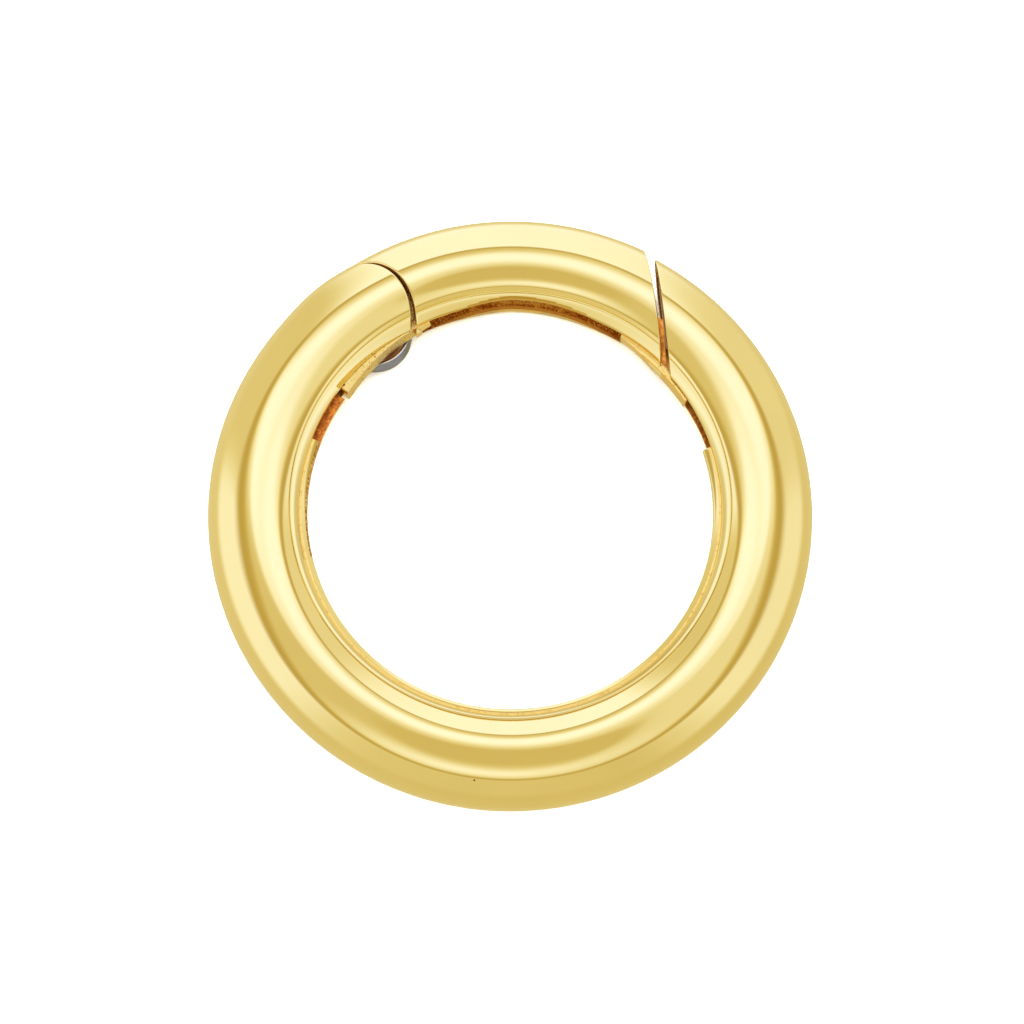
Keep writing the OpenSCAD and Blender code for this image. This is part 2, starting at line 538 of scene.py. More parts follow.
@dataclass
class HollowBar:
    """Hollow bar between two shaped ends, with rounded lips."""

    name: str
    sizes: RingSizes
    section: BarSection
    first: EndRule
    last: EndRule
    centre: np.ndarray
    steps: int
    hollow_steps: int
    hollow_radius: float
    hollow_flat: float
    lip: float = 0.05
    fill: Optional[tuple[float, float]] = None
    swell: float = 0.0
    swell_span: float = 7.0

    def rows(self, steps: int, length: float, fine: bool) -> np.ndarray:
        """Places the sections along the bar.

        Args:
            steps: Sections after the first.
            length: Length of the bar along its centreline.
            fine: Crowds them at both ends.

        Returns:
            Their places, from 0 at one end to 1 at the other.
        """
        if not fine:
            return np.linspace(0, 1, steps + 1)
        near = LIP_ROWS * self.lip / length
        middle = np.linspace(near[-1], 1 - near[-1], steps + 3 - 2 * len(near))[1:-1]
        return np.concatenate([near, middle, 1 - near[::-1]])

    def tube(self, name: str, section: np.ndarray, steps: int,
             fine: bool) -> tuple[bpy.types.Object, np.ndarray]:
        """Sweeps one wall of the bar and fits both of its ends.

        Args:
            name: Name of the wall.
            section: Its section.
            steps: Sections after the first.
            fine: Crowds sections at the ends and rounds the lips.

        Returns:
            The open tube, and the vertices of its first and last rim in the section's order.
        """
        span = 60.0
        tube = sweep_section(name, section, self.sizes, 0, span, steps)
        points = read_points(tube)
        radius = np.hypot(points[:, 0], points[:, 1])
        height = points[:, 2] - self.sizes.middle
        index = np.rint(np.degrees(np.arctan2(points[:, 1], points[:, 0])) / span * steps).astype(int)
        offsets = np.stack([radius - self.sizes.centreline, height], 1)
        rims = []
        for rim in (0, steps):
            members = np.nonzero(index == rim)[0]
            gaps = np.linalg.norm(section[:, None] - offsets[members][None], axis=2)
            rims.append(members[np.argmin(gaps, axis=1)])
        a = self.first(radius, height, self.centre)
        b = self.last(radius, height, self.centre)
        b = np.where(b < a, b + 2 * math.pi, b)
        length = float(np.mean(b - a)) * self.sizes.centreline
        share = self.rows(steps, length, fine)[np.clip(index, 0, steps)]
        angle = a + (b - a) * share
        if fine:
            away = np.minimum(share, 1 - share) * length
            into = np.maximum(self.lip - away, 0)
            inset = self.lip - np.sqrt(np.maximum(self.lip ** 2 - into ** 2, 0))
            side = radius - self.sizes.centreline
            size = np.hypot(side, height)
            radius = self.sizes.centreline + side * (1 - inset / size)
            height = height * (1 - inset / size)
            away = (np.degrees(angle) - self.sizes.hinge_angle) / self.swell_span
            radius = (radius + self.swell * np.exp(-away ** 2) * np.maximum(side, 0)
                      / self.sizes.bar_radius)
        points[:, 0] = self.centre[0] + radius * np.cos(angle)
        points[:, 1] = self.centre[1] + radius * np.sin(angle)
        points[:, 2] = self.sizes.middle + height
        write_points(tube, points)
        return tube, np.array(rims)

    def build(self, materials: Sequence[bpy.types.Material]) -> bpy.types.Object:
        """Makes both walls and bridges them at the two ends.

        Args:
            materials: Its materials in the order of Layer.

        Returns:
            The closed hollow bar.
        """
        outer, outer_rims = self.tube(self.name, self.section.points(), self.steps, True)
        inner, inner_rims = self.tube(self.name + "_hollow",
                                      self.section.hollow(self.hollow_radius, self.hollow_flat),
                                      self.hollow_steps, False)
        inner_rims = inner_rims + len(outer.data.vertices)
        for material in materials:
            outer.data.materials.append(material)
            inner.data.materials.append(material)
        self.paint(outer)
        faces = inner.data.polygons
        faces.foreach_set("material_index", np.full(len(faces), Layer.INSIDE.value))
        activate(outer, inner)
        bpy.ops.object.join()
        bpy.ops.object.mode_set(mode="EDIT")
        bm = bmesh.from_edit_mesh(outer.data)
        bm.verts.ensure_lookup_table()
        for near, far in zip(outer_rims, inner_rims):
            for (a, b), (c, d) in zip(zip(near, np.roll(near, -1)), zip(far, np.roll(far, -1))):
                face = bm.faces.new([bm.verts[a], bm.verts[b], bm.verts[d], bm.verts[c]])
                face.material_index = Layer.SEAM.value
        bmesh.update_edit_mesh(outer.data)
        face_outwards(outer)
        return outer

    def paint(self, piece: bpy.types.Object) -> None:
        """Gives the groove and the filled part of the strip finishes of their own.

        Args:
            piece: The outer wall.
        """
        flat = np.empty(len(piece.data.polygons) * 3)
        piece.data.polygons.foreach_get("center", flat)
        at = flat.reshape(-1, 3) - [*self.centre, self.sizes.middle]
        side = np.hypot(at[:, 0], at[:, 1]) - self.sizes.centreline
        height = abs(at[:, 2])
        slack = 0.004
        deep, low = self.section.groove[-1]
        groove = (side > deep - slack) & (side < -1.5)
        groove = groove & (height < self.section.crease_height - slack) & (height > low - slack)
        layers = np.where(groove, Layer.GROOVE.value, Layer.SKIN.value)
        if self.fill:
            angle = np.degrees(np.arctan2(at[:, 1], at[:, 0])) % 360
            strip = (side < -1.7) & (angle > self.fill[0]) & (angle < self.fill[1])
            layers[strip] = Layer.INSIDE.value
        piece.data.polygons.foreach_set("material_index", layers)

    def plug(self, name: str, first: EndRule, last: EndRule, less: float,
             flat: float) -> bpy.types.Object:
        """Makes a solid length of the bar that fills its hollow between two ends.

        Args:
            name: Name of the solid.
            first: Its end at the smaller angle.
            last: Its end at the larger angle.
            less: How much slimmer than the bar it is.
            flat: How far inwards it reaches from the bar's centre.

        Returns:
            The closed solid.
        """
        body = replace(self, first=first, last=last)
        section = self.section.hollow(self.section.radius - less, flat)
        return close_ends(body.tube(name, section, steps=24, fine=False)[0])


class Value:
    """A shader socket that carries a number and takes part in arithmetic."""

    def __init__(self, shader: "Shader", socket: bpy.types.NodeSocket) -> None:
        """Wraps a socket of the shader."""
        self.shader = shader
        self.socket = socket

    def _math(self, operation: str, *terms: Link) -> "Value":
        """Adds a Math node on the terms."""
        return self.shader.node("ShaderNodeMath", {"operation": operation}, dict(enumerate(terms)))

    def __add__(self, other: Link) -> "Value":
        """Sum."""
        return self._math("ADD", self, other)

    __radd__ = __add__

    def __sub__(self, other: Link) -> "Value":
        """Difference."""
        return self._math("SUBTRACT", self, other)

    def __rsub__(self, other: Link) -> "Value":
        """Difference from a number."""
        return self._math("SUBTRACT", other, self)

    def __mul__(self, other: Link) -> "Value":
        """Product."""
        return self._math("MULTIPLY", self, other)

    def __truediv__(self, other: Link) -> "Value":
        """Quotient."""
        return self._math("DIVIDE", self, other)

    def __pow__(self, other: Link) -> "Value":
        """Power."""
        return self._math("POWER", self, other)

    def __abs__(self) -> "Value":
        """Size without sign."""
        return self._math("ABSOLUTE", self)

    def most(self, other: Link) -> "Value":
        """Larger of two values."""
        return self._math("MAXIMUM", self, other)

    def rise(self, low: float, high: float) -> "Value":
        """Smooth step from 0 at low to 1 at high."""
        return self.shader.node("ShaderNodeMapRange", {"interpolation_type": "SMOOTHSTEP"},
                                {0: self, 1: low, 2: high, 3: 0.0, 4: 1.0})


def how_far(*parts: Value) -> Value:
    """Measures how far a point is from the origin.

    Args:
        parts: The point's place along each direction.

    Returns:
        The distance.
    """
    total = parts[0] * parts[0]
    for part in parts[1:]:
        total = total + part * part
    return total ** 0.5


class Shader:
    """Node tree of one material or of the surroundings."""

    def __init__(self, tree: bpy.types.NodeTree) -> None:
        """Starts an empty tree."""
        self.tree = tree
        tree.nodes.clear()

    def node(self, kind: str, settings: Optional[dict] = None, sockets: Optional[dict] = None,
             output: Union[int, str] = 0) -> Value:
        """Adds any node.

        Args:
            kind: The node's type.
            settings: Properties that are set before its sockets.
            sockets: Values or links by socket index or name.
            output: Index or name of the output that is returned.

        Returns:
            The output as a value.
        """
        made = self.tree.nodes.new(kind)
        for key, value in (settings or {}).items():
            setattr(made, key, value)
        for key, value in (sockets or {}).items():
            if isinstance(value, Value):
                self.tree.links.new(value.socket, made.inputs[key])
            else:
                made.inputs[key].default_value = value
        return Value(self, made.outputs[output])

    def place(self) -> Value:
        """Returns the object coordinates, in metres of the row frame."""
        return self.node("ShaderNodeTexCoord", output="Object")

    def parts(self, vector: Value) -> tuple[Value, Value, Value]:
        """Splits a vector into its three values.

        Args:
            vector: The vector.

        Returns:
            Its x, y and z.
        """
        split = self.tree.nodes.new("ShaderNodeSeparateXYZ")
        self.tree.links.new(vector.socket, split.inputs[0])
        return tuple(Value(self, socket) for socket in split.outputs)

    def noise(self, place: Value, scale: float, detail: float = 2.0, roughness: float = 0.5,
              distortion: float = 0.0) -> Value:
        """Returns a noise pattern from 0 to 1."""
        return self.node("ShaderNodeTexNoise", {"noise_dimensions": "3D"},
                         {"Vector": place, "Scale": scale, "Detail": detail, "Roughness": roughness,
                          "Distortion": distortion})

    def blend(self, share: Link, low: Link, high: Link) -> Value:
        """Mixes two colours by a share."""
        return self.node("ShaderNodeMix", {"data_type": "RGBA"}, {0: share, 6: low, 7: high},
                         output=2)

    def near(self, x: Value, y: Value, at: tuple[float, float],
             reach: tuple[float, float]) -> Value:
        """Soft round spot that is 1 at a point and 0 at its reach."""
        return 1.0 - how_far((x - at[0]) / reach[0], (y - at[1]) / reach[1]).rise(0.0, 1.0)

    def metal(self, colour: Value, roughness: Value, height: Value, relief: float, depth: float,
              metallic: float = 1.0) -> None:
        """Finishes the material as metal.

        Args:
            colour: Its colour.
            roughness: Its roughness.
            height: Pattern that stands out of it.
            relief: Strength of that pattern.
            depth: Height in metres that the pattern stands for.
            metallic: Share of metal in the surface.
        """
        bump = self.node("ShaderNodeBump", {}, {"Strength": relief, "Distance": depth, "Height": height})
        self.finish(self.node("ShaderNodeBsdfPrincipled", {}, {
            "Base Color": colour, "Metallic": metallic, "Roughness": roughness, "Normal": bump}))

    def shine(self, level: Value, gone: Value) -> None:
        """Finishes the material as a light that is clear in places.

        Args:
            level: Level of the light.
            gone: Share that is clear.
        """
        light = self.node("ShaderNodeEmission", {}, {"Color": warm_light(self, level), "Strength": 1.0})
        clear = self.node("ShaderNodeBsdfTransparent")
        self.finish(self.node("ShaderNodeMixShader", {}, {0: gone, 1: light, 2: clear}))

    def finish(self, surface: Value) -> None:
        """Links a surface to the tree's output."""
        end = self.tree.nodes.new("ShaderNodeOutputWorld" if isinstance(self, Surroundings)
                                  else "ShaderNodeOutputMaterial")
        self.tree.links.new(surface.socket, end.inputs["Surface"])


class Surroundings(Shader):
    """Node tree of the world around the piece."""


def warm_light(shader: Shader, level: Value) -> Value:
    """Turns a level of light into a colour that grows warmer as it grows dimmer."""
    red = level * 0.86 + 0.18
    return shader.node("ShaderNodeCombineColor", {}, {0: red, 1: red ** 1.5, 2: red ** 3.4})


def new_material(name: str) -> tuple[bpy.types.Material, Shader]:
    """Starts a material.

    Args:
        name: Name of the material.

    Returns:
        The material and its tree.
    """
    material = bpy.data.materials.new(name)
    material.use_nodes = True
    return material, Shader(material.node_tree)


@dataclass(frozen=True)
class PolishedGold:
    """Bright polished yellow gold with a faint haze, hairline wear and one small pit, drawn as a dark
    spot of painted shade.
    """

    name: str = "polished_gold"
    colour: tuple[float, float, float] = (1.0, 0.87, 0.45)
    roughness: float = 0.07
    pit: tuple[float, float, float] = PIT_PLACE
    pit_radius: float = 0.045

    def make(self) -> bpy.types.Material:
        """Makes the material.

        Returns:
            The material.
        """
        material, s = new_material(self.name)
        place = s.place()
        x, y, z = (part / MM for part in s.parts(place))
        cloud = s.noise(place, 420.0, 3.0)
        hairlines = s.noise(place, 5200.0, 2.0, 0.6, 1.5).rise(0.62, 0.8)
        # The pit is drawn as a near-black, rougher spot of painted shade, without a dent.
        away = how_far(x - self.pit[0], y - self.pit[1], z - self.pit[2])
        pit = 1.0 - away.rise(self.pit_radius * 0.5, self.pit_radius)
        hazy = tuple(c * 0.975 for c in self.colour)
        colour = s.blend(cloud.rise(0.3, 0.75), (*self.colour, 1), (*hazy, 1))
        colour = s.blend(pit, colour, (0.06, 0.03, 0.005, 1))
        roughness = cloud * 0.03 + hairlines * 0.03 + pit * 0.5 + (self.roughness - 0.015)
        s.metal(colour, roughness, cloud, relief=0.05, depth=0.00001)
        return material


@dataclass(frozen=True)
class CastGold:
    """Unpolished gold, grained and pitted as it was cast, with a painted sheen outside a radius and low
    rims painted bright as painted light.
    """

    name: str = "cast_gold"
    bright: tuple[float, float, float] = (1.0, 0.7, 0.24)
    dark: tuple[float, float, float] = (0.45, 0.16, 0.012)
    grain: float = 15000.0
    cover: tuple[float, float] = (0.44, 0.62)
    relief: float = 0.9
    roughness: float = 0.42
    metallic: float = 1.0
    painted_sheen_radius: Optional[tuple[float, float]] = None
    painted_rim_height: tuple[float, float] = (0.0, 0.0)
    rims: tuple[tuple[float, float, float], ...] = ()

    def make(self) -> bpy.types.Material:
        """Makes the material.

        Returns:
            The material.
        """
        material, s = new_material(self.name)
        place = s.place()
        lumps = s.noise(place, self.grain, 3.0, 0.55, 0.3)
        swells = s.noise(place, self.grain * 0.25, 2.0)
        height = lumps * 0.75 + swells * 0.25
        share = height.rise(*self.cover)
        roughness = self.roughness - height * 0.15
        # Painted sheen: the gold is lighter and smoother outside the given radius from the ring's axis.
        if self.painted_sheen_radius:
            x, y, z = s.parts(place)
            painted_sheen = (how_far(x, y) / MM).rise(*self.painted_sheen_radius)
            # Painted light: low surfaces within reach of the given centres, such as the trough's inner
            # ledge, are made bright.
            rim = 1.0 - (z / MM).rise(*self.painted_rim_height)
            for cx, cy, reach in self.rims:
                away = how_far(x / MM - cx, y / MM - cy) + lumps * 0.1
                rim = rim * (1.0 - away.rise(reach, reach + 0.08))
            share = share.most(painted_sheen).most(rim)
            roughness = roughness - painted_sheen * 0.2
        colour = s.blend(share, (*self.dark, 1), (*self.bright, 1))
        s.metal(colour, roughness, height, self.relief, depth=0.00004, metallic=self.metallic)
        return material


@dataclass(frozen=True)
class SpringSteel:
    """Drawn steel wire with fine lengthwise streaks and a painted highlight: a bright band along the
    inner side of its coil.
    """

    centre: tuple[float, float]
    name: str = "spring_steel"
    colour: tuple[float, float, float] = (0.33, 0.37, 0.54)
    # Colour of the painted highlight, a bright band along the inner side of the coil.
    painted_highlight: tuple[float, float, float] = (0.92, 0.94, 1.0)
    painted_highlight_radius: tuple[float, float] = (1.3, 1.35)
    roughness: float = 0.11

    def make(self) -> bpy.types.Material:
        """Makes the material.

        Returns:
            The material.
        """
        material, s = new_material(self.name)
        place = s.place()
        x, y, _ = s.parts(place)
        away = how_far(x / MM - self.centre[0], y / MM - self.centre[1])
        # Painted highlight: the wire is made bright within this radius of the coil's axis.
        highlight_band = 1.0 - away.rise(*self.painted_highlight_radius)
        drawn = s.node("ShaderNodeMapping", {}, {"Vector": place, "Scale": (0.12, 0.12, 1.0)})
        streak = s.noise(drawn, 26000.0, 3.0, 0.6)
        cloud = s.noise(place, 1800.0, 2.0)
        dull = tuple(c * 0.8 for c in self.colour)
        colour = s.blend(streak.rise(0.35, 0.7), (*dull, 1), (*self.colour, 1))
        colour = s.blend(highlight_band, colour, (*self.painted_highlight, 1))
        s.metal(colour, cloud * 0.12 + (self.roughness - 0.04), streak, relief=0.15, depth=0.00001)
        return material


class Finishes:
    """Materials of the ring, made once."""

    def __init__(self, sizes: RingSizes) -> None:
        """Makes them all.

        Args:
            sizes: Sizes of the ring; the steel knows where the coil stands, for its painted highlight.
        """
        # The cast gold gets a painted sheen outside radius 9.1 and painted light on low rims near the
        # inner side.
        painted_rim_reach = (6.98, 6.78)
        self.polished = PolishedGold().make()
        self.cast = CastGold(
            painted_sheen_radius=(9.1, 9.7), painted_rim_height=(0.87, 0.93),
            rims=tuple((*centre, reach) for centre, reach in zip(RELIEF_CENTRES, painted_rim_reach))).make()
        self.seam = CastGold(
            "seam_gold", bright=(0.66, 0.31, 0.06), dark=(0.45, 0.16, 0.02), grain=9000.0,
            cover=(0.35, 0.6), relief=0.2, roughness=0.45, metallic=0.6).make()
        self.satin = CastGold(
            "satin_gold", bright=(0.92, 0.7, 0.25), dark=(0.3, 0.1, 0.01),
            cover=(0.36, 0.43), relief=0.4, roughness=0.32).make()
        self.relief = CastGold(
            "relief_gold", bright=(0.97, 0.7, 0.22), dark=(0.82, 0.52, 0.13), grain=9000.0,
            cover=(0.3, 0.5), relief=0.15, roughness=0.3).make()
        # Painted shade: dark brown gold for the spring's drum, the slot walls and the tongue's way,
        # which lie in shade.
        self.dark = CastGold(
            "painted_shade_gold", bright=(0.6, 0.2, 0.025), dark=(0.28, 0.07, 0.006), grain=9000.0,
            cover=(0.4, 0.7), relief=0.4, roughness=0.5, metallic=0.6).make()
        self.steel = SpringSteel(tuple(sizes.pivot)).make()

    def gold(self) -> list[bpy.types.Material]:
        """Returns the golds of a bar in the order of Layer."""
        return [self.polished, self.cast, self.seam, self.relief]


def deliver(piece: bpy.types.Object, body: Optional[Part], node: str,
            smooth: float = 40.0) -> None:
    """Scales a finished piece to metres and hangs it on its body.

    Args:
        piece: The finished piece, in millimetres.
        body: Body that it rides on, or nothing for a piece that lies between two bodies and is hung on
            neither.
        node: Node of the frame that it stands for.
        smooth: Angle in degrees above which an edge stays sharp.
    """
    activate(piece)
    bpy.ops.object.shade_smooth_by_angle(angle=math.radians(smooth))
    piece.scale = (MM, MM, MM)
    apply_place(piece)
    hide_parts(node)
    if body is not None:
        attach(piece, body.value)
    LOG.info("%s: %d faces", piece.name, len(piece.data.polygons))


@dataclass
class RingBody:
    """C-shaped ring with the slots, the drum of the spring and the seats of the pin."""

    sizes: RingSizes
    finishes: Finishes
    section: BarSection = field(default_factory=BarSection)
    hollow_flat: float = 1.35
    swell: float = 0.08
    filled_span: float = 34.0
    plug_less: float = 0.19
    drum_heights: tuple[float, float] = (-1.5, -0.44)
    seat_heights: tuple[float, float] = (0.44, 1.38)
    hole_heights: tuple[float, float] = (-1.32, 1.32)
    room_heights: tuple[float, float] = (-1.44, -0.4)

    def hinge_end(self, radius: np.ndarray, height: np.ndarray, centre: np.ndarray) -> np.ndarray:
        """Finds where the rounded end stands, with its inner corner rounded about the pin.

        Args:
            radius: Distances from the bar's own centre.
            height: Heights from the middle plane.
            centre: The bar's own centre in plan.

        Returns:
            Angles round that centre, in radians.
        """
        z = self.sizes
        big = RoundEnd(tuple(z.end_centre), z.end_radius).angle(radius, height, centre)
        small = RoundEnd(tuple(z.pivot), z.swing_radius).angle(radius, height, centre)
        return np.where(radius < np.linalg.norm(z.swing_touch), np.maximum(big, small), big)

    def latch_end_by(self, back: float) -> EndRule:
        """Makes the rule of the slanted, leaning end.

        Args:
            back: Distance that it is set back into the ring.

        Returns:
            The rule of that end.
        """
        z = self.sizes
        way = z.latch_angle + z.latch_slant - 91
        lean = math.radians(z.latch_lean)
        at = on_circle(z.centreline, z.latch_angle) + on_circle(0.8 * z.latch_gap, way)
        distance = float(at @ on_circle(1.0, way)) * math.cos(lean)
        return PlaneEnd(way, distance + back, z.latch_lean).angle

    def build(self) -> None:
        """Makes the ring and hangs it on its body."""
        z, finishes = self.sizes, self.finishes
        bar = HollowBar("ring_body_gold", z, self.section, self.hinge_end, self.latch_end_by(0.0),
                        np.zeros(2), steps=400, hollow_steps=90, hollow_radius=z.bar_radius - z.wall,
                        hollow_flat=self.hollow_flat, swell=self.swell,
                        fill=(z.slit_angle, z.slit_angle + self.filled_span))
        ring = bar.build(finishes.gold())
        for filling in self.fillings(bar):
            combine(ring, filling, Cut.ADD, finishes.seam)
        # The slot walls take the painted shade.
        for cutter in self.slots():
            combine(ring, cutter, Cut.TAKE, finishes.dark)
        # The drum under the strip takes the painted shade.
        coil_drum = drum("spring_drum", z.pivot, z.drum_radius, self.drum_heights, z, 0.03)
        combine(ring, coil_drum, Cut.ADD, finishes.dark)
        seat = drum("front_seat", z.pivot, z.seat_radius, self.seat_heights, z)
        combine(ring, seat, Cut.ADD, finishes.cast)
        hole = drum("pin_hole", z.pivot, z.pin_radius + 0.02, self.hole_heights, z)
        combine(ring, hole, Cut.TAKE, finishes.cast)
        deliver(ring, Part.RING, "ring_body")

    def fillings(self, bar: HollowBar) -> list[bpy.types.Object]:
        """Makes the solids that close the bar's hollow just behind its two ends.

        Args:
            bar: The ring's bar.

        Returns:
            The two solids.
        """
        z = self.sizes
        hinge = bar.plug("hinge_plug", SquareEnd(z.hinge_angle - 14).angle,
                         SquareEnd(z.hinge_angle + 11.3).angle, self.plug_less, 1.0)
        combine(hinge, drum("hinge_plug_end", z.end_centre, z.end_radius - 0.07, THROUGH, z), Cut.KEEP)
        combine(hinge, drum("tang_way", z.pivot, 3.4, (-2.0, 0.46), z), Cut.TAKE)
        latch = bar.plug("latch_plug", SquareEnd(z.latch_angle - 20).angle,
                         self.latch_end_by(0.06), self.plug_less, 1.36)
        way = arc_block("tongue_way", z, (z.tip_angle - 2, z.latch_angle + 20),
                        (z.centreline - 1.5, z.centreline - 0.79), (-0.41, 0.41))
        # The tongue's way takes the painted shade.
        combine(latch, way, Cut.TAKE, self.finishes.dark)
        return [hinge, latch]

    def slots(self) -> list[bpy.types.Object]:
        """Makes the solids that open the inner side for the tang, the tongue and the spring.

        Returns:
            The four cutters.
        """
        z = self.sizes
        c = z.centreline
        return [
            arc_block("tang_slot", z, (z.hinge_angle - 30, z.tail_angle + 1.3),
                      (c - 2.3, c - 1.2), (-0.45, 0.45)),
            arc_block("tang_slit", z, (z.tail_angle + 0.5, z.slit_angle),
                      (c - 2.31, c - 1.21), (0.02, 0.38)),
            arc_block("tongue_slot", z, (z.slot_angle, z.latch_angle + 10),
                      (c - 2.3, c - 1.2), (-0.4, 0.44), 0.15),
            drum("spring_room", z.pivot, z.room_radius, self.room_heights, z),
        ]


@dataclass
class Gate:
    """Hollow arc that swings in, with a tang at the hinge and a tongue at the latch."""

    sizes: RingSizes
    finishes: Finishes
    section: BarSection = field(default_factory=BarSection)
    hollow_flat: float = 0.8
    lip: float = 0.06
    plug_less: float = 0.19
    web_less: float = 0.26
    trough_heights: tuple[float, float] = (-0.95, 0.4)
    relief_less: tuple[float, float] = (1.134, 1.333)

    def hinge_end(self, radius: np.ndarray, height: np.ndarray, centre: np.ndarray) -> np.ndarray:
        """Finds where the hollowed end stands that faces the ring's rounded one.

        Args:
            radius: Distances from the bar's own centre.
            height: Heights from the middle plane.
            centre: The bar's own centre in plan.

        Returns:
            Angles round that centre, in radians.
        """
        z = self.sizes
        big = RoundEnd(tuple(z.hollow_centre), z.end_radius + 0.06 + z.hinge_gap).angle(
            radius, height, centre)
        small = RoundEnd(tuple(z.pivot), z.swing_radius + 0.08).angle(radius, height, centre)
        return np.minimum(big, small)

    def latch_end_by(self, out: float) -> EndRule:
        """Makes the rule of the slanted end.

        Args:
            out: Distance that it is set out of the gate.

        Returns:
            The rule of that end.
        """
        z = self.sizes
        way = z.latch_angle + z.latch_slant - 90
        distance = float(on_circle(z.centreline, z.latch_angle) @ on_circle(1.0, way)) - z.latch_gap / 2
        return PlaneEnd(way, distance + out).angle

    def build(self) -> None:
        """Makes the gate and hangs it on its body."""
        z, finishes = self.sizes, self.finishes
        c = z.centreline
        turn = math.radians(z.proud_angle)
        back = -z.pivot
        centre = z.pivot + np.array([back[0] * math.cos(turn) - back[1] * math.sin(turn),
                                     back[0] * math.sin(turn) + back[1] * math.cos(turn)])
        bar = HollowBar("gate_gold", z, self.section, self.latch_end_by(0.0), self.hinge_end, centre,
                        steps=170, hollow_steps=60, hollow_radius=z.bar_radius - z.wall,
                        hollow_flat=self.hollow_flat, lip=self.lip)
        gate = bar.build(finishes.gold())
        for filling in self.fillings(bar):
            combine(gate, filling, Cut.ADD, finishes.seam)
        trough = arc_block("trough", z, (z.latch_angle + 4, z.hinge_angle - 18),
                           (c - 2.3, c - 1.0), self.trough_heights)
        combine(gate, trough, Cut.TAKE, finishes.cast)
        narrow = arc_block("trough_end", z, (z.hinge_angle - 18.1, z.hinge_angle - 15.2),
                           (c - 2.31, c - 1.1), (-0.94, 0.2))
        combine(gate, narrow, Cut.TAKE, finishes.cast)
        root = arc_block("tang_root", z, (z.hinge_angle - 30, z.hinge_angle - 16),
                         (c - 0.95, c + 1.58), (-z.tang_half, z.tang_half))
        combine(gate, root, Cut.ADD, finishes.cast)
        combine(gate, self.tang(), Cut.ADD)
        tongue = arc_block("tongue", z, (z.tip_angle, z.latch_angle + 3.5),
                           (c - 1.65, c - 0.85), (-z.tongue_half, z.tongue_half), 0.03)
        combine(gate, tongue, Cut.ADD, finishes.relief)
        relief, second = (self.relief_cutter(name, centre, less) for name, centre, less in zip(
            ("relief", "relief_second"), RELIEF_CENTRES, self.relief_less))
        combine(relief, second, Cut.KEEP)
        combine(gate, relief, Cut.TAKE, finishes.relief)
        hole = drum("gate_pin_hole", z.pivot, z.pin_radius + 0.04, (-1.8, 1.8), z)
        combine(gate, hole, Cut.TAKE, finishes.cast)
        deliver(gate, Part.GATE, "gate")

    def fillings(self, bar: HollowBar) -> list[bpy.types.Object]:
        """Makes the solid behind the bar's hinge end and the web beside the tongue.

        Args:
            bar: The gate's bar.

        Returns:
            The two solids.
        """
        z = self.sizes
        hinge = bar.plug("gate_hinge_plug", SquareEnd(z.hinge_angle - 25).angle,
                         SquareEnd(z.hinge_angle - 4).angle, self.plug_less, 0.81)
        for way in (
            drum("gate_plug_end", z.hollow_centre, z.end_radius + 0.13 + z.hinge_gap, THROUGH, z),
            drum("gate_plug_corner", z.pivot, z.swing_radius + 0.15, THROUGH, z),
            drum("leg_way", z.pivot, 5.0, (-2.0, -0.4), z),
        ):
            combine(hinge, way, Cut.TAKE)
        web = bar.plug("latch_web", self.latch_end_by(0.2), self.latch_end_by(-0.31),
                       self.web_less, 1.7)
        rest = arc_block("web_side", z, (z.latch_angle - 20, z.latch_angle + 20),
                         (z.centreline - 0.45, z.centreline + 3), THROUGH)
        combine(web, rest, Cut.TAKE)
        return [hinge, web]

    def tang(self) -> bpy.types.Object:
        """Makes the tang with its tail, cut to its straighter inner edge.

        Returns:
            The closed tang.
        """
        z, satin = self.sizes, self.finishes.satin
        c = z.centreline
        tang = wear(arc_block("tang", z, (z.hinge_angle - 24, z.hinge_angle),
                              (c - 1.25, c + 0.5), (-z.tang_half, 0.2)), satin)
        tail = arc_block("tail", z, (z.hinge_angle - 15.5, z.tail_angle),
                         (c - 1.9, c - 1.2), (-0.379, 0.43), 0.1)
        combine(tang, tail, Cut.ADD, satin)
        edge = drum("tang_edge", np.array([0.661, 0.237]), 7.758, (-3.6, 3.6), z)
        combine(tang, edge, Cut.TAKE, satin)
        return tang

    def relief_cutter(self, name: str, centre: tuple[float, float], less: float) -> bpy.types.Object:
        """Makes a tapered cutter for the gate's inner side.

        Args:
            name: Name of the cutter.
            centre: Its centre in plan.
            less: How much smaller than the inner side it is.

        Returns:
            The cutter.
        """
        z = self.sizes
        radius = z.centreline - z.bar_radius + z.gate_relief - less
        return drum(name, np.array(centre), radius + 0.3, THROUGH, z, top_radius=radius - 0.3)


@dataclass
class HingePin:
    """Steel pin inside the ring."""

    sizes: RingSizes
    finishes: Finishes

    def build(self) -> None:
        """Makes the pin with rounded ends and hangs it on the ring."""
        z = self.sizes
        pin = drum("hinge_pin_steel", z.pivot, z.pin_radius, (-1.3, 1.3), z, 0.05)
        deliver(wear(pin, self.finishes.steel), Part.RING, "hinge_pin")


